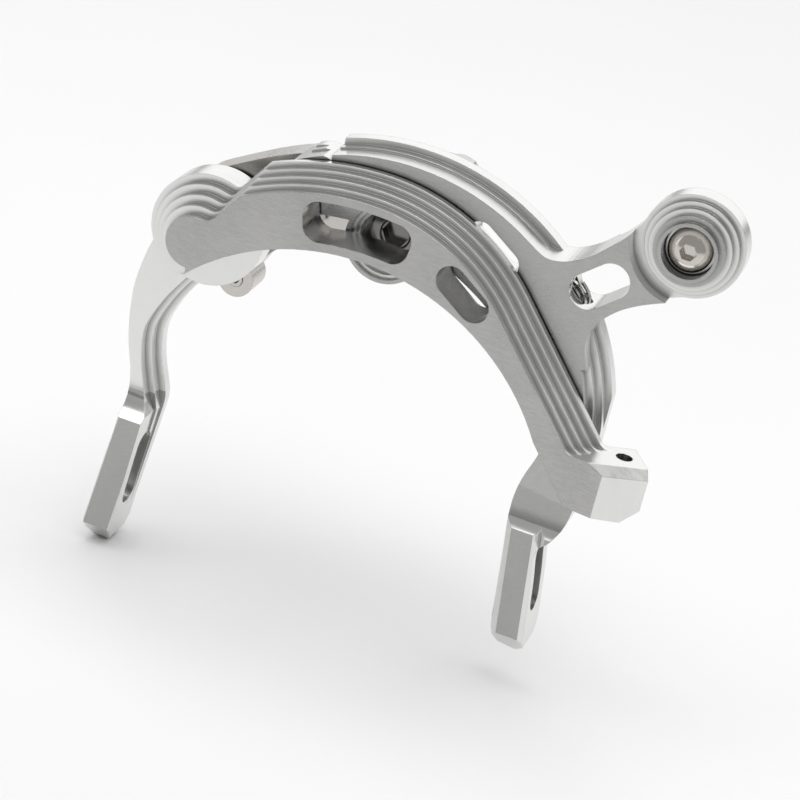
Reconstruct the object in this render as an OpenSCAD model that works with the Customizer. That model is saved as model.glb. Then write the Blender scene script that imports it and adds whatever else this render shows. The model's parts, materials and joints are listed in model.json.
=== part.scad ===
// Dual pivot side pull rim brake caliper, machined aluminium, long reach.
// Frame: origin on the mounting bolt axis at the rear mounting face.
// X to the cable side, Y to the rear, Z up. Millimetres. The arms are drawn open.

/* [Arch] */
// inner radius of the arch
arch_r = 48.3; // [44:0.1:52]
// thickness of the front arm
c_thick = 10; // [8:0.5:12]
// thickness of the rear arm
y_thick = 10; // [8:0.5:12]
// number of terraces along the outer flank of the front arm
terraces = 4; // [2:1:5]
// width of one terrace along the arch
arch_step = 0.95; // [0.5:0.05:1.4]
// width of one terrace around the pivot eye
eye_step = 1.6; // [1:0.05:2]
// depth of one terrace
step_deep = 2.1; // [1:0.1:2.4]

/* [Legs] */
// splay of each leg from the vertical at rest
splay = 6.3; // [2:0.1:9]
// width of a pad slot
slot_w = 6; // [5:0.1:7]
// distance between the end centres of a pad slot
slot_travel = 11; // [8:0.5:13]

/* [Pivots] */
// radius of the front arm's bearing shoulder
side_r = 4; // [3:0.1:5]
// outer radius of the centre bush
bush_r = 4.5; // [4:0.1:5.5]
// radial running clearance
play = 0.05; // [0.02:0.01:0.1]

/* [Mounting] */
// radius of the mounting bolt
bolt_r = 3; // [2.5:0.1:4]
// length of the mounting bolt behind the mounting face
bolt_out = 26; // [15:1:60]

/* [Cable] */
// radius of the cable passage in the stop
cable_r = 1.7; // [1:0.1:2.5]
// radius of the housing seat in the stop
housing_r = 2.6; // [2:0.1:3]
// radius of the pinch bolt
pinch_r = 2.5; // [2:0.1:3]

/* [Hidden] */
$fn = 96;
c_front = -38;
c_rear = c_front + c_thick;
liner_r = 2.2;
y_front = c_rear + 0.5;
y_rear = y_front + y_thick;
b_front = -16.8;
b_rear = -9.3;
side = [-35.5, -9];
boss = [58, 18.5];
link = [-18.5, 3.2];
stop = [57.4, -29.8];
arch_c = [-1, -49.5];
over_l = [-1.5, -43.5];
over_r = [-1.5, -28.5];
eye_r = 5.4;
eye_end = -17.6;
flank_n = [0.747, 0.665];
flank_d = [0.665, -0.747];
flank_t = over_r + 39 * flank_n;
shoulder_a = 145.8;
stop_top = -25.2;
ya_c = [2.5, -31];
ya_r = 48;
yi_c = [-4, -45];
yi_r = 47.4;
leg_front = -29.5;
leg_rear = -17.5;
slot_y = -23.5;
slot_l = [-44.3, -66.5];
slot_r = [43.3, -58.3];
post_c = [-45, -27];
post_y = [45.5, -24];
wire_r = 0.9;
coil_r = 12;
screw = [-31.2, -22.2];

function dirv(a) = [cos(a), sin(a)];

// points of a smooth curve through the given points, n steps in each span
function knot(p, i) = p[max(0, min(len(p) - 1, i))];
function blend(a, b, c, d, t) =
    0.5 * (2 * b + (c - a) * t + (2 * a - 5 * b + 4 * c - d) * t * t + (3 * b - a - 3 * c + d) * t * t * t);
function curve(p, n = 4) = concat(
    [for (i = [0 : len(p) - 2], s = [0 : n - 1])
        blend(knot(p, i - 1), knot(p, i), knot(p, i + 1), knot(p, i + 2), s / n)],
    [p[len(p) - 1]]);

// extrudes a front view outline from y0 (front) to y1 (rear)
module slab(y0, y1) {
    translate([0, y1, 0])
        rotate([90, 0, 0])
            linear_extrude(height = y1 - y0)
                children();
}

module rod(p, r, y0, y1) {
    slab(y0, y1)
        translate(p)
            circle(r = r);
}

module ring(p, r, hole, y0, y1) {
    slab(y0, y1)
        difference() {
            translate(p)
                circle(r = r);
            translate(p)
                circle(r = hole);
        }
}

module pill(a, b, r, y0, y1) {
    d = b - a;
    rod(a, r, y0, y1);
    rod(b, r, y0, y1);
    slab(y0, y1)
        translate(a)
            rotate(atan2(d[1], d[0]))
                translate([0, 0.01 - r])
                    square([norm(d), 2 * r - 0.02]);
}

// wedge of the plane seen from a centre, angles clockwise from straight up
module wedge(p, a0, a1, r) {
    polygon([p, p + r * [sin(a0), cos(a0)], p + r * [sin((a0 + a1) / 2), cos((a0 + a1) / 2)],
             p + r * [sin(a1), cos(a1)]]);
}

// rounded window that follows the arch
module arch_window(r0, r1, a0, a1, cr) {
    d0 = asin(cr / (r0 + cr));
    d1 = asin(cr / (r1 - cr));
    intersection() {
        difference() {
            translate(arch_c)
                circle(r = r1);
            translate(arch_c)
                circle(r = r0);
        }
        wedge(arch_c, a0 + d0, a1 - d0, 80);
    }
    intersection() {
        difference() {
            translate(arch_c)
                circle(r = r1 - cr);
            translate(arch_c)
                circle(r = r0 + cr);
        }
        wedge(arch_c, a0, a1, 80);
    }
    for (q = [[r0 + cr, a0 + d0], [r0 + cr, a1 - d0], [r1 - cr, a0 + d1], [r1 - cr, a1 - d1]])
        translate(arch_c + q[0] * [sin(q[1]), cos(q[1])])
            circle(r = cr + 0.01);
}

// ---- front arm ----

// one terrace of the front arm, k = 0 is the flat front face
module c_outline(k) {
    o = arch_step * k;
    re = eye_r + eye_step * k;
    rf = 3.2 - 0.45 * k;
    ns = dirv(shoulder_a);
    lim = 25.0 + 0.35 * k;
    phi = shoulder_a - acos((lim + rf - ns * side) / (re + rf));
    f = side + (re + rf) * dirv(phi);
    cx = 47.7 + 1.339 * o;
    fr = 3;
    ft = fr * tan(24.15);
    difference() {
        union() {
            translate(side)
                circle(r = re);
            intersection() {
                union() {
                    intersection() {
                        translate(over_l)
                            circle(r = 54 + o);
                        translate([side[0], -17])
                            square([-1.5 - side[0], 60]);
                    }
                    intersection() {
                        translate(over_r)
                            circle(r = 39 + o);
                        translate([-1.6, -30])
                            square([60, 60]);
                    }
                    polygon([flank_t + o * flank_n, [cx, stop_top], [cx, stop_top - 3], [49.6, -35.8],
                             [37.0, -20.6], [27, -12], flank_t - 6 * flank_n]);
                }
                polygon([lim * ns + 60 * dirv(shoulder_a - 90), lim * ns + 60 * dirv(shoulder_a + 90),
                         [70, -70], [90, 40]]);
            }
            polygon([side, f - rf * ns, f, side + re * dirv(phi)]);
            polygon([[cx - 1, stop_top - 1.5], [cx + ft, stop_top - 1.5], [cx + ft, stop_top + fr],
                     [cx - ft * 0.665, stop_top + ft * 0.747]]);
        }
        translate(f)
            circle(r = rf + 0.01);
        translate([cx + ft, stop_top + fr])
            circle(r = fr + 0.01);
        translate(arch_c)
            circle(r = arch_r);
    }
}

// cable stop block, turned in plan, with a bevel over its outer face
module stop_block() {
    difference() {
        stop_body();
        translate([55.4, c_front, stop_top])
            rotate([0, 0, 31.4])
                rotate([45, 0, 0])
                    translate([-20, -1.25, -1.25])
                        cube([60, 2.5, 2.5]);
    }
}

module stop_body() {
    intersection() {
        slab(c_front, -20)
            polygon([[45.5, -28], [49, stop_top], [66, stop_top], [66, -31.2], [60.6, -36.5], [49.6, -35.8],
                     [45, -30.2]]);
        translate([0, 0, -40])
            linear_extrude(height = 20)
                polygon([[45, c_front], [55.4, c_front], [63.6, -33.0], [58.4, -24.4], [51.6, -28.2],
                         [45, -28.2]]);
    }
}

module leg_c_outline(inner) {
    left = [[-46.9, -14.5], [-48.6, -21], [-49.4, -28.5], [-48.4, -38], [-46.2, -46.5], [-45.6, -54.6],
            [-46.6, -64], [-48.2, -78.8]];
    right = [[-39.5 - inner * 0.3, -53.5], [-39.6 - inner, -50], [-41.9 - inner, -43],
             [-42.8 - inner, -37], [-41.9 - inner, -32.6], [-39.4 - inner, -27], [-36 - inner, -21.5]];
    polygon(concat(curve(left, 4), [[-47.8, -81.6], [-46.4, -83.9], [-43.6, -84.3], [-42.5, -82.8],
                   [-42.0, -77]], curve(right, 4), [[-33, -12]]));
}

module pad_slot(p, a) {
    translate([p[0], slot_y, p[1]])
        rotate([0, a, 0]) {
            for (s = [-1, 1])
                translate([-10, 0, s * slot_travel / 2])
                    rotate([0, 90, 0])
                        cylinder(r = slot_w / 2, h = 20);
            translate([-10, 0.01 - slot_w / 2, -slot_travel / 2])
                cube([20, slot_w - 0.02, slot_travel]);
        }
}

// bevel that runs along one front edge of a leg
module edge_cut(p, a, lean, size) {
    translate([p[0], leg_front, p[1]])
        rotate([0, lean, 0])
            rotate([0, 0, a])
                translate([-size, -size, -22])
                    cube([2 * size, 2 * size, 44]);
}

module leg_c() {
    difference() {
        union() {
            slab(leg_front, leg_rear)
                leg_c_outline(2.6);
            slab(-22.4, leg_rear)
                leg_c_outline(1.3);
            slab(-19.8, leg_rear)
                leg_c_outline(0);
        }
        // recessed upper leg with the concave ramp above the pad panel
        translate([-60, -40, -47.2])
            cube([40, 40 - 25, 60]);
        translate([-60, -33, -47.2])
            rotate([0, 90, 0])
                cylinder(r = 8, h = 40);
        translate([-60, leg_front, -84.6])
            rotate([45, 0, 0])
                translate([0, -3.2, -3.2])
                    cube([40, 6.4, 6.4]);
        translate([-60, leg_rear, -84.8])
            rotate([45, 0, 0])
                translate([0, -2.8, -2.8])
                    cube([40, 5.6, 5.6]);
        edge_cut([-39.9, -66], 45, splay, 0.85);
        edge_cut([-47.4, -66], 45, splay, 0.6);
        pad_slot(slot_l, splay);
    }
}

module c_arm() {
    color([0.8, 0.81, 0.82])
        difference() {
            union() {
                for (k = [0 : terraces])
                    slab(c_front + step_deep * k, c_rear)
                        c_outline(k);
                stop_block();
                // barrel behind the eye
                rod(side, eye_r + eye_step * 4, c_rear - 0.2, -22.5);
                rod(side, 9.6, -23, eye_end);
                leg_c();
                // finger that meets the link roller
                slab(-22.3, -17.9)
                    polygon([[-34, -16], [-34, -0.7], [-27, -0.45], [-15.5, -0.45], [-15.5, -3.6], [-26, -8]]);
            }
            // windows
            slab(c_front - 1, c_rear + 0.2)
                arch_window(50.1, 58.4, -14.4, 9.0, 3.4);
            pill([17.0, 1.1], [22.5, -2.6], 3.1, c_front - 1, c_rear + 0.2);
            // threaded seat of the side bolt
            rod(side, 3.0, -32, -10);
            rod(side, side_r + 0.02, -19.6, -10);
            // passage of the cable and seat of its housing
            translate([stop[0], stop[1], -45])
                cylinder(r = cable_r, h = 30);
            translate([stop[0], stop[1], -45])
                cylinder(r = liner_r, h = 45 - 30);
            translate([stop[0], stop[1], -45])
                cylinder(r = housing_r, h = 45 - 33);
            rod(post_c, 1.5, -22, -10);
        }
}

// ---- rear arm ----

module y_ring(r) {
    intersection() {
        difference() {
            translate(ya_c)
                circle(r = r);
            translate(yi_c)
                circle(r = yi_r);
        }
        union() {
            translate([-14.5, -30])
                square([66, 60]);
            translate([-16.5, 6.6])
                circle(r = 6.6);
        }
    }
}

module y_branch() {
    top = [[27.5, 10.0], [30.4, 8.4], [32.6, 7.9], [35.8, 8.6], [39.8, 11.0], [43.4, 14.6], [46.0, 17.6],
           [50.4, 24.2]];
    low = [[60.6, 8.8], [54.5, 6.2], [50.4, 4.0], [47.3, 1.6], [44.7, -1.6], [43.6, -4.6], [43.8, -7.6],
           [45.2, -11.5]];
    polygon(concat(curve(top, 4), [boss], curve(low, 4), [[38, -14], [26, 2]]));
}

module leg_y_outline() {
    left = [[41.6, -27], [40.3, -32.5], [38.6, -38], [37.9, -43], [38.2, -48], [38.9, -54], [40.2, -68.3]];
    right = [[47.6, -69.5], [46.3, -59], [45.4, -53.2], [45.9, -50.6], [47.7, -48.3], [49.4, -45],
             [50.3, -39], [50.4, -31]];
    polygon(concat(curve(left, 4), [[40.6, -70.8], [42.4, -74.6], [46.2, -75.4], [47.8, -73.8]],
                   curve(right, 4), [[47, -24]]));
}

module leg_y() {
    difference() {
        slab(leg_front, leg_rear)
            leg_y_outline();
        translate([30, -40, -43.5])
            cube([40, 40 + y_front, 60]);
        translate([30, y_front - 6, -43.5])
            rotate([0, 90, 0])
                cylinder(r = 6, h = 40);
        translate([30, leg_front, -75.7])
            rotate([45, 0, 0])
                translate([0, -3.2, -3.2])
                    cube([40, 6.4, 6.4]);
        translate([30, leg_rear, -75.9])
            rotate([45, 0, 0])
                translate([0, -2.8, -2.8])
                    cube([40, 5.6, 5.6]);
        edge_cut([46.5, -58], 45, -splay, 0.85);
        edge_cut([39.1, -58], 45, -splay, 1.1);
        pad_slot(slot_r, -splay);
    }
}

module y_arm() {
    color([0.76, 0.77, 0.79])
        difference() {
            union() {
                difference() {
                    union() {
                        slab(y_front, y_rear)
                            y_ring(45.8);
                        intersection() {
                            slab(y_front, y_rear)
                                y_ring(ya_r);
                            translate([-30, -40, -3])
                                cube([75, 40, 40]);
                        }
                        slab(y_front, y_rear)
                            y_branch();
                        for (k = [1 : 3])
                            slab(y_front + 2.3 * k, y_rear)
                                intersection() {
                                    y_ring(45.8 + 1.3 * k);
                                    translate([-20, -30])
                                        square([70.5, 60]);
                                }
                    }
                    // annular relief around the boss
                    rod(boss, 11.6, y_front - 1, -24.2);
                    rod(boss, 16, -19.5, y_rear + 1);
                }
                // stepped boss of the cable clamp
                for (k = [0 : 4])
                    rod(boss, 5.9 + 1.12 * k, -29.0 + 1.2 * k, -19.5);
                leg_y();
                // barrel of the centre pivot
                rod([0, 0], 8.4, y_front, -7.2);
            }
            // stepped mouth and seat of the bolt head
            rod([0, 0], 7.6, y_front - 1, -26.6);
            rod([0, 0], 6.8, y_front - 1, -25.6);
            rod([0, 0], 6.0, y_front - 1, -15.0);
            rod([0, 0], bush_r + play, -16, -5);
            // windows
            pill([41.2, 4.1], [45.2, 7.6], 3.7, y_front - 1, y_rear + 1);
            pill([18.0, 8.0], [24.2, 4.0], 2.8, y_front - 1, y_rear + 1);
            // threaded cross hole in the branch
            translate([41.2, -22.5, 4.1])
                rotate([0, -139, 0])
                    cylinder(r = 3.0, h = 10);
            // clamp recess and bore
            rod(boss, 5.2, -30, -25.0);
            rod(boss, pinch_r + 0.1, -26, -15);
            rod(link, 1.5, -30, -15);
            // room for the roller and its finger
            slab(-22.6, -17)
                polygon([[-25, -12], [-25, 6.3], [-15.8, 6.8], [-13.8, 2.5], [-12.5, -1.2], [-12.5, -12]]);
            rod(post_y, 1.5, -22, -10);
        }
}

// ---- bracket ----

module bracket() {
    top = [[-40, -0.6], [-34, 3.0], [-28.6, 6.0], [-22, 8.9], [-15, 10.6], [-7, 10.9], [0, 10.7]];
    low = [[-2, -10.5], [-8, -9.2], [-14, -8.8], [-20, -10.2], [-25, -14.0], [-28, -19.2]];
    color([0.7, 0.7, 0.72])
        difference() {
            union() {
                slab(b_front, b_rear)
                    union() {
                        translate(side)
                            circle(r = 9.5);
                        circle(r = 10.7);
                        polygon(concat(curve(top, 4), [[0, 0]], curve(low, 4),
                                       [[-29, -20.6], [-33.6, -23], [-37.4, -17.6], side]));
                        translate(screw)
                            circle(r = 3.8);
                    }
                rod([0, 0], 11, b_rear - 0.2, -1.6);
            }
            rod([0, 0], 8.8, b_front - 1, -7.0);
            rod([0, 0], bolt_r + 0.1, -8, 0);
            rod(side, 5.0, b_front - 1, b_rear + 1);
            rod(screw, 1.5 + play, b_front - 1, b_rear + 1);
        }
}

module mounting_bolt() {
    color([0.45, 0.45, 0.47])
        difference() {
            union() {
                rod([0, 0], 5, -21, -16);
                rod([0, 0], bolt_r, -16.2, bolt_out);
            }
            translate([0, -17.8, 0])
                rotate([90, 0, 0])
                    cylinder(r = 2.9, h = 5, $fn = 6);
            translate([0, -20.6, 0])
                rotate([90, 0, 0])
                    cylinder(r1 = 2.9, r2 = 3.5, h = 0.6);
        }
}

module head_washer() {
    color([0.6, 0.6, 0.62])
        ring([0, 0], 5.6, bolt_r + 0.1, -16, -15.2);
}

module centre_bush() {
    color([0.7, 0.58, 0.35])
        ring([0, 0], bush_r, bolt_r + 0.1, -15.2, -7.0);
}

module serrated_washer() {
    color([0.55, 0.55, 0.57])
        difference() {
            ring([0, 0], 9, bolt_r + 0.1, -1.6, 0);
            for (i = [0 : 23])
                rotate([0, i * 15, 0])
                    translate([9.4, -0.8, 0])
                        rotate([0, 45, 0])
                            cube([1.4, 3, 1.4], center = true);
        }
}

module nut_washer() {
    color([0.6, 0.6, 0.62])
        ring([0, 0], 6.2, bolt_r + 0.1, 15, 16.4);
}

module mounting_nut() {
    color([0.6, 0.6, 0.62])
        difference() {
            union() {
                translate([0, 21.2, 0])
                    rotate([90, 0, 0])
                        cylinder(r = 5.77, h = 4.8, $fn = 6);
                rod([0, 0], 4.8, 21.0, 23.0);
            }
            rod([0, 0], bolt_r, 14, 25);
            rod([0, 0], 4.1, 21.4, 22.6);
        }
}

module nylon_ring() {
    color([0.1, 0.35, 0.75])
        ring([0, 0], 4.1, bolt_r, 21.4, 22.6);
}

module side_bolt() {
    color([0.5, 0.5, 0.52])
        difference() {
            union() {
                rod(side, 2.98, -31.6, -18);
                rod(side, side_r, -19.6, -8.9);
                rod(side, 6.6, -9.1, -5.6);
            }
            translate([side[0], -4.6, side[1]])
                rotate([90, 0, 0])
                    cylinder(r = 2.9, h = 3.6, $fn = 6);
        }
}

module side_bush() {
    color([0.7, 0.58, 0.35])
        ring(side, 5.0, side_r + play, b_front, b_rear);
}

module side_washer() {
    color([0.6, 0.6, 0.62])
        ring(side, 8, side_r + 0.1, -17.4, -17.0);
}

module link_pin() {
    color([0.5, 0.5, 0.52])
        union() {
            rod(link, 1.5, -26.6, -17.9);
        }
}

module link_roller() {
    color([0.85, 0.8, 0.65])
        ring(link, 2.8, 1.5 + play, -22.3, -18.3);
}

module centring_screw() {
    color([0.3, 0.3, 0.32])
        difference() {
            rod(screw, 1.5, -17.1, -9.0);
            translate([screw[0], -15.6, screw[1]])
                rotate([90, 0, 0])
                    cylinder(r = 0.87, h = 3, $fn = 6);
        }
}

module pinch_bolt() {
    color([0.75, 0.74, 0.7])
        difference() {
            union() {
                intersection() {
                    rod(boss, 4.5, -28.9, -26.0);
                    translate([boss[0], -23.4, boss[1]])
                        sphere(r = 5.5);
                }
                rod(boss, pinch_r, -26.2, -12.4);
            }
            translate([boss[0], -26.9, boss[1]])
                rotate([90, 0, 0])
                    cylinder(r = 1.73, h = 5, $fn = 6);
        }
}

module pinch_washer() {
    color([0.6, 0.6, 0.62])
        ring(boss, 5.0, pinch_r + 0.1, -25.8, -25.0);
}

module clamp_plate() {
    color([0.6, 0.6, 0.62])
        difference() {
            ring(boss, 5.4, pinch_r + 0.1, -19.2, -17.4);
            translate([boss[0] - 3.4, -19.3, boss[1] - 10])
                cylinder(r = 0.8, h = 20);
        }
}

module pinch_nut() {
    color([0.55, 0.55, 0.57])
        difference() {
            translate([boss[0], -13.3, boss[1]])
                rotate([90, 0, 0])
                    cylinder(r = 4.6, h = 4.0, $fn = 6);
            rod(boss, pinch_r + 0.03, -20, -10);
        }
}

module stop_liner() {
    color([0.75, 0.6, 0.3])
        translate([stop[0], stop[1], -33])
            difference() {
                cylinder(r = liner_r, h = 3);
                translate([0, 0, -1])
                    cylinder(r = 1.0, h = 5);
            }
}

module wire(p, q, y) {
    d = q - p;
    translate([p[0], y, p[1]])
        rotate([0, 90 - atan2(d[1], d[0]), 0])
            cylinder(r = wire_r, h = norm(d));
}

module spring_coil() {
    color([0.5, 0.5, 0.52])
        for (y = [-7.2, -5.2, -3.2])
            translate([0, y, 0])
                rotate([90, 0, 0])
                    rotate_extrude()
                        translate([coil_r, 0])
                            circle(r = wire_r);
}

module spring_leg_c() {
    color([0.5, 0.5, 0.52])
        wire([-13.2, -7.2], [-46.5, -24.6], -4.2);
}

module spring_leg_y() {
    color([0.5, 0.5, 0.52])
        wire([13.2, -6.6], [47.5, -21.8], -6.2);
}

module spring_post_c() {
    color([0.5, 0.5, 0.52])
        rod(post_c, 1.5, -22, -3);
}

module spring_post_y() {
    color([0.5, 0.5, 0.52])
        rod(post_y, 1.5, -22, -5);
}

bracket();
c_arm();
y_arm();
mounting_bolt();
head_washer();
centre_bush();
serrated_washer();
nut_washer();
mounting_nut();
nylon_ring();
side_bolt();
side_bush();
side_washer();
link_pin();
link_roller();
centring_screw();
pinch_bolt();
pinch_washer();
clamp_plate();
pinch_nut();
stop_liner();
spring_coil();
spring_leg_c();
spring_leg_y();
spring_post_c();
spring_post_y();
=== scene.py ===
import json
import math

import bmesh
import bpy
from mathutils import Matrix, Vector


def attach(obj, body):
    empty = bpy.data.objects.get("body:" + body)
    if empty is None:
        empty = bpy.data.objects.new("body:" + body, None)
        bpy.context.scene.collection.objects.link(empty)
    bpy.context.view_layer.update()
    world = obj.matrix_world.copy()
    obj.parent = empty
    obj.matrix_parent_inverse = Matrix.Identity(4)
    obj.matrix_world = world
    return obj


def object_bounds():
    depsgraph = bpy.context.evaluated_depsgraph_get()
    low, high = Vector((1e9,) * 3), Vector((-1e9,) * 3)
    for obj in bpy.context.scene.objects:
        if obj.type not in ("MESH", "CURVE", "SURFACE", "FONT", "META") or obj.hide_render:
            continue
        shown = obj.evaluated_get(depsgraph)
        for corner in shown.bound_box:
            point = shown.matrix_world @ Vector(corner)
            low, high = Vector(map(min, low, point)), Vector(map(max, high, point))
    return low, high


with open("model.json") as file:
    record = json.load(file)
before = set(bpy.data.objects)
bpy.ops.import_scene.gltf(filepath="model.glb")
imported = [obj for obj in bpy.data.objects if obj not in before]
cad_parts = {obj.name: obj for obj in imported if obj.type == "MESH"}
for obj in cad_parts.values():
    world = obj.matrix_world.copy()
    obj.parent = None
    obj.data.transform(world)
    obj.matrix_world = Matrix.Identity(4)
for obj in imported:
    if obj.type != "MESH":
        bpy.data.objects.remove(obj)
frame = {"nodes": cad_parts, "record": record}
size_at_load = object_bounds()
nodes = frame["nodes"]

C_FRONT = -0.038  # front plane of the front arm, m
Y_FRONT = -0.0275  # front plane of the rear arm, m
PLANE_SLACK = 0.0001  # how far behind that plane a face still counts as the front flat
FACING = 0.97  # a face is square to Y above this share of its normal
PANEL_FACING = 0.9
SHARP_ANGLE = math.radians(24)
BOLT_R = 0.003  # M6 thread radius
THREAD_SEGMENTS = 40  # points in one turn of a thread
THREAD_ROOT = 0.0001  # how deep a thread's foot is sunk into its wall
FLOOR_HALF = 3.0
FLOOR_GAP = 0.0002  # floor below the lowest point



# ---- materials ----

def new_material(name):
    m = bpy.data.materials.new(name)
    m.use_nodes = True
    nt = m.node_tree
    nt.nodes.clear()
    out = nt.nodes.new("ShaderNodeOutputMaterial")
    bsdf = nt.nodes.new("ShaderNodeBsdfPrincipled")
    nt.links.new(bsdf.outputs["BSDF"], out.inputs["Surface"])
    return m, nt, bsdf


def add_noise(nt, scale, stretch, detail, turn=(0, 0, 0)):
    coord = nt.nodes.new("ShaderNodeTexCoord")
    mapping = nt.nodes.new("ShaderNodeMapping")
    mapping.inputs["Rotation"].default_value = turn
    mapping.inputs["Scale"].default_value = stretch
    noise = nt.nodes.new("ShaderNodeTexNoise")
    noise.inputs["Scale"].default_value = scale
    noise.inputs["Detail"].default_value = detail
    noise.inputs["Roughness"].default_value = 0.6
    nt.links.new(coord.outputs["Object"], mapping.inputs["Vector"])
    nt.links.new(mapping.outputs["Vector"], noise.inputs["Vector"])
    return noise


def ranged(nt, socket, low, high, from_low=0.3, from_high=0.7):
    r = nt.nodes.new("ShaderNodeMapRange")
    r.inputs["From Min"].default_value = from_low
    r.inputs["From Max"].default_value = from_high
    r.inputs["To Min"].default_value = low
    r.inputs["To Max"].default_value = high
    nt.links.new(socket, r.inputs["Value"])
    return r.outputs["Result"]


def metal(name, color, rough, spread=0.06, grain=(60, 60, 900), grain_scale=9.0, bump=0.05, tint=0.06,
          speckle=0.0, metallic=1.0, edge=0.0002, corner=0.0, reach=0.0016):
    """Machined metal with grain and soft patches. speckle adds grit, and corner paints shade into inside
    corners: an ambient occlusion node darkens the base colour there.
    """
    m, nt, bsdf = new_material(name)
    bsdf.inputs["Metallic"].default_value = metallic
    lines = add_noise(nt, grain_scale, grain, 3)
    patches = add_noise(nt, 55, (1, 1, 1), 3)
    mix = nt.nodes.new("ShaderNodeMix")
    mix.data_type = "RGBA"
    mix.inputs["A"].default_value = (*[c * (1 - tint) for c in color], 1)
    mix.inputs["B"].default_value = (*[min(1, c * (1 + tint)) for c in color], 1)
    both = nt.nodes.new("ShaderNodeMath")
    both.operation = "MULTIPLY_ADD"
    both.inputs[1].default_value = 0.55
    nt.links.new(lines.outputs["Fac"], both.inputs[0])
    half = nt.nodes.new("ShaderNodeMath")
    half.operation = "MULTIPLY"
    half.inputs[1].default_value = 0.45
    nt.links.new(patches.outputs["Fac"], half.inputs[0])
    nt.links.new(half.outputs[0], both.inputs[2])
    nt.links.new(ranged(nt, both.outputs[0], 0, 1, 0.36, 0.64), mix.inputs["Factor"])
    shade = mix.outputs["Result"]
    # painted shade: where the ambient occlusion node finds an inside corner within reach, the base colour
    # is pulled down towards (1 - corner) of its value
    if corner:
        ao = nt.nodes.new("ShaderNodeAmbientOcclusion")
        ao.samples = 8
        ao.inputs["Distance"].default_value = reach
        painted_shade = nt.nodes.new("ShaderNodeMix")
        painted_shade.data_type = "RGBA"
        painted_shade.inputs["A"].default_value = (*[c * (1 - corner) for c in color], 1)
        nt.links.new(shade, painted_shade.inputs["B"])
        nt.links.new(ranged(nt, ao.outputs["AO"], 0, 1, 0.3, 0.85), painted_shade.inputs["Factor"])
        shade = painted_shade.outputs["Result"]
    nt.links.new(shade, bsdf.inputs["Base Color"])
    nt.links.new(ranged(nt, both.outputs[0], rough - spread, rough + spread, 0.36, 0.64),
                 bsdf.inputs["Roughness"])
    height = lines.outputs["Fac"]
    if speckle:
        grit = add_noise(nt, 2600, (1, 1, 1), 2)
        add = nt.nodes.new("ShaderNodeMath")
        add.operation = "MULTIPLY_ADD"
        add.inputs[1].default_value = speckle
        nt.links.new(grit.outputs["Fac"], add.inputs[0])
        nt.links.new(height, add.inputs[2])
        height = add.outputs[0]
    b = nt.nodes.new("ShaderNodeBump")
    b.inputs["Strength"].default_value = bump
    b.inputs["Distance"].default_value = 0.00005
    nt.links.new(height, b.inputs["Height"])
    if edge:
        e = nt.nodes.new("ShaderNodeBevel")
        e.samples = 6
        e.inputs["Radius"].default_value = edge
        nt.links.new(e.outputs["Normal"], b.inputs["Normal"])
    nt.links.new(b.outputs["Normal"], bsdf.inputs["Normal"])
    return m


def plastic(name, color, rough):
    m, nt, bsdf = new_material(name)
    n = add_noise(nt, 900, (1, 1, 1), 3)
    bsdf.inputs["Base Color"].default_value = (*color, 1)
    nt.links.new(ranged(nt, n.outputs["Fac"], rough - 0.08, rough + 0.08), bsdf.inputs["Roughness"])
    b = nt.nodes.new("ShaderNodeBump")
    b.inputs["Strength"].default_value = 0.15
    b.inputs["Distance"].default_value = 0.00004
    nt.links.new(n.outputs["Fac"], b.inputs["Height"])
    nt.links.new(b.outputs["Normal"], bsdf.inputs["Normal"])
    return m


# corner= sets how much shade is painted into each material's inside corners
MAT = {
    "flat": metal("brushed_flat", (0.44, 0.437, 0.43), 0.3, 0.07, bump=0.35, tint=0.15,
                  speckle=0.4, corner=0.5),
    "step": metal("milled_step", (0.78, 0.78, 0.77), 0.32, 0.05, grain=(20, 20, 20), bump=0.08, tint=0.03,
                  corner=0.62),
    "wall": metal("milled_wall", (0.73, 0.728, 0.72), 0.22, 0.05, grain=(20, 160, 20), bump=0.06, tint=0.04,
                  corner=0.6),
    "panel": metal("satin_panel", (0.41, 0.408, 0.4), 0.38, 0.06, bump=0.5, tint=0.1,
                   speckle=1.2, corner=0.4),
    "rear": metal("rear_alloy", (0.6, 0.58, 0.55), 0.3, 0.06, bump=0.2, tint=0.07, corner=0.7),
    "steel": metal("stainless", (0.6, 0.57, 0.53), 0.12, 0.04, grain=(30, 30, 30), bump=0.05, tint=0.04),
    "zinc": metal("zinc_steel", (0.55, 0.55, 0.545), 0.26, 0.06, grain=(30, 30, 30), bump=0.1, tint=0.08),
    "dark": metal("dark_steel", (0.2, 0.195, 0.19), 0.18, 0.06, grain=(30, 30, 30), bump=0.1, tint=0.15),
    "spring": metal("spring_wire", (0.5, 0.5, 0.52), 0.25, 0.05, bump=0.1, tint=0.08, edge=0),
    "bronze": metal("bronze", (0.62, 0.46, 0.25), 0.3, 0.06, bump=0.1, tint=0.08),
    "blue": plastic("nylon_blue", (0.02, 0.2, 0.6), 0.42),
    "white": plastic("roller_white", (0.8, 0.79, 0.75), 0.4),
}

NODE_MAT = {
    "bracket": "rear", "mounting_bolt": "dark", "head_washer": "zinc", "centre_bush": "bronze",
    "serrated_washer": "zinc", "nut_washer": "zinc", "mounting_nut": "zinc", "nylon_ring": "blue",
    "side_bolt": "dark", "side_bush": "bronze", "side_washer": "zinc", "link_pin": "zinc",
    "link_roller": "white", "centring_screw": "zinc", "pinch_bolt": "steel", "pinch_washer": "zinc",
    "clamp_plate": "zinc", "pinch_nut": "zinc", "stop_liner": "bronze", "spring_coil": "spring",
    "spring_leg_c": "spring", "spring_leg_y": "spring", "spring_post_c": "zinc", "spring_post_y": "zinc",
}


def paint(obj, key):
    obj.data.materials.clear()
    obj.data.materials.append(MAT[key])


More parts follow.
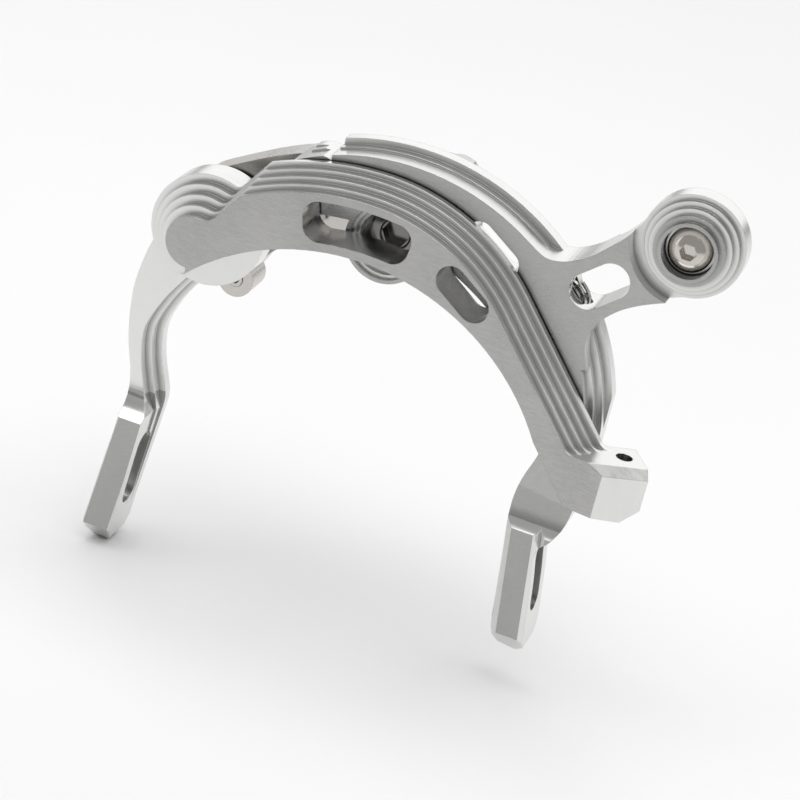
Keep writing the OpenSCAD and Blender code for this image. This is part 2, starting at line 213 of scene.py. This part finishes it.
def paint_arm(obj, front, panels):
    """Front flats brushed grey, small panels satin, terraces light and every wall milled bright."""
    me = obj.data
    me.materials.clear()
    for key in ("wall", "flat", "panel", "step"):
        me.materials.append(MAT[key])
    for poly in me.polygons:
        c, n = poly.center, poly.normal
        index = 0
        if n.y > FACING:
            index = 1
        elif n.y < -FACING:
            index = 1 if c.y < front + PLANE_SLACK else 3
        for (x0, z0), (x1, z1) in panels:
            if n.y < -PANEL_FACING and x0 < c.x < x1 and z0 < c.z < z1:
                index = 2
        poly.material_index = index


for name, key in NODE_MAT.items():
    paint(nodes[name], key)
paint_arm(nodes["c_arm"], C_FRONT, [((-0.06, -0.09), (-0.035, -0.05))])
paint_arm(nodes["y_arm"], Y_FRONT, [((0.03, -0.09), (0.06, -0.04))])


for o in nodes.values():
    for poly in o.data.polygons:
        poly.use_smooth = True
    o.data.set_sharp_from_angle(angle=SHARP_ANGLE)


# ---- detail pieces ----

def thread(name, middle, axis, radius, length, pitch, depth, key, body):
    """Screw thread as a closed ridge on a helix; depth is outward on a shaft and negative in a hole."""
    root = THREAD_ROOT if depth > 0 else -THREAD_ROOT
    half = pitch * 0.42
    forward = Vector(axis).normalized()
    side = forward.orthogonal().normalized()
    across = forward.cross(side)
    steps = int(THREAD_SEGMENTS * length / pitch)
    bm = bmesh.new()
    rings = []
    for k in range(steps + 1):
        angle = 2 * math.pi * k / THREAD_SEGMENTS
        out = side * math.cos(angle) + across * math.sin(angle)
        along = length * (k / steps - 0.5)
        fade = min(1, 0.1 + 2 * k / THREAD_SEGMENTS, 0.1 + 2 * (steps - k) / THREAD_SEGMENTS)
        section = ((radius - root, -half), (radius + depth * fade, 0), (radius - root, half))
        rings.append([bm.verts.new(Vector(middle) + out * r + forward * (along + shift))
                      for r, shift in section])
    for a, b in zip(rings, rings[1:]):
        for i in range(3):
            bm.faces.new((a[i], a[(i + 1) % 3], b[(i + 1) % 3], b[i]))
    bm.faces.new(rings[0])
    bm.faces.new(rings[-1])
    bmesh.ops.recalc_face_normals(bm, faces=bm.faces)
    me = bpy.data.meshes.new(name)
    bm.to_mesh(me)
    bm.free()
    o = bpy.data.objects.new(name, me)
    bpy.context.scene.collection.objects.link(o)
    paint(o, key)
    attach(o, body)
    return o


mounts = {m["name"]: m for m in frame["record"]["mounts"]}
branch = mounts["branch_thread"]
thread("mounting_bolt_thread", (0, 0.0143, 0), (0, 1, 0), BOLT_R, 0.0206, 0.001, 0.00022,
       "dark", "carrier")
thread("branch_thread", branch["pos_m"], branch["axis"], BOLT_R, 0.0062, 0.001, -0.00035,
       "wall", "rear_arm")


# ---- floor, light and camera ----

def floor_plane():
    me = bpy.data.meshes.new("floor")
    s = FLOOR_HALF
    z = size_at_load[0].z - FLOOR_GAP
    me.from_pydata([(-s, -s, z), (s, -s, z), (s, s, z), (-s, s, z)], [], [(0, 1, 2, 3)])
    o = bpy.data.objects.new("floor", me)
    bpy.context.scene.collection.objects.link(o)
    m, nt, bsdf = new_material("floor_paint")
    n = add_noise(nt, 6, (1, 1, 1), 2)
    mix = nt.nodes.new("ShaderNodeMix")
    mix.data_type = "RGBA"
    mix.inputs["A"].default_value = (0.9, 0.9, 0.9, 1)
    mix.inputs["B"].default_value = (0.93, 0.93, 0.93, 1)
    nt.links.new(n.outputs["Fac"], mix.inputs["Factor"])
    nt.links.new(mix.outputs["Result"], bsdf.inputs["Base Color"])
    bsdf.inputs["Roughness"].default_value = 0.9
    me.materials.append(m)
    return o


floor_plane()


def area(name, loc, target, size, power, color=(1, 1, 1)):
    d = bpy.data.lights.new(name, "AREA")
    d.shape = "RECTANGLE"
    d.size, d.size_y = size
    d.energy = power
    d.color = color
    o = bpy.data.objects.new(name, d)
    o.location = loc
    o.rotation_mode = "QUATERNION"
    o.rotation_quaternion = (Vector(target) - Vector(loc)).to_track_quat("-Z", "Y")
    bpy.context.scene.collection.objects.link(o)
    return o


CENTRE = (0.008, -0.02, -0.03)
area("top_soft", (0.0, -0.05, 0.8), CENTRE, (1.0, 0.9), 5.5)
area("back_soft", (0.0, 1.0, 0.42), CENTRE, (2.2, 0.7), 4.0)
area("left_soft", (-0.8, -0.3, 0.25), CENTRE, (0.5, 0.7), 0.9)
area("right_soft", (0.85, -0.2, 0.2), CENTRE, (0.5, 0.9), 0.8)

world = bpy.data.worlds.new("world")
bpy.context.scene.world = world
world.use_nodes = True
wnt = world.node_tree
wnt.nodes.clear()
w_out = wnt.nodes.new("ShaderNodeOutputWorld")
w_bg = wnt.nodes.new("ShaderNodeBackground")
w_bg.inputs["Color"].default_value = (1, 1, 1, 1)
w_bg.inputs["Strength"].default_value = 0.42
wnt.links.new(w_bg.outputs["Background"], w_out.inputs["Surface"])

CAMERA_AT = Vector((0.134229, -0.581026, 0.217857))
RIGHT = Vector((0.910703, 0.358485, 0.205206))
UP = Vector((-0.313104, 0.275077, 0.90901))
BACK = Vector((0.269419, -0.892088, 0.362756))
aim = (-BACK + RIGHT * 0.0566 - UP * 0.0566).normalized()
turn = (-BACK).rotation_difference(aim)
right, up, back = turn @ RIGHT, turn @ UP, -aim
cam_data = bpy.data.cameras.new("camera")
cam_data.sensor_width = 36
cam_data.lens = 140
cam_data.clip_start = 0.01
cam_data.clip_end = 20
cam = bpy.data.objects.new("camera", cam_data)
bpy.context.scene.collection.objects.link(cam)
m3 = Matrix((right, up, back)).transposed()
cam.matrix_world = Matrix.Translation(CAMERA_AT) @ m3.to_4x4()
bpy.context.scene.camera = cam
bpy.context.scene.view_settings.view_transform = "Standard"
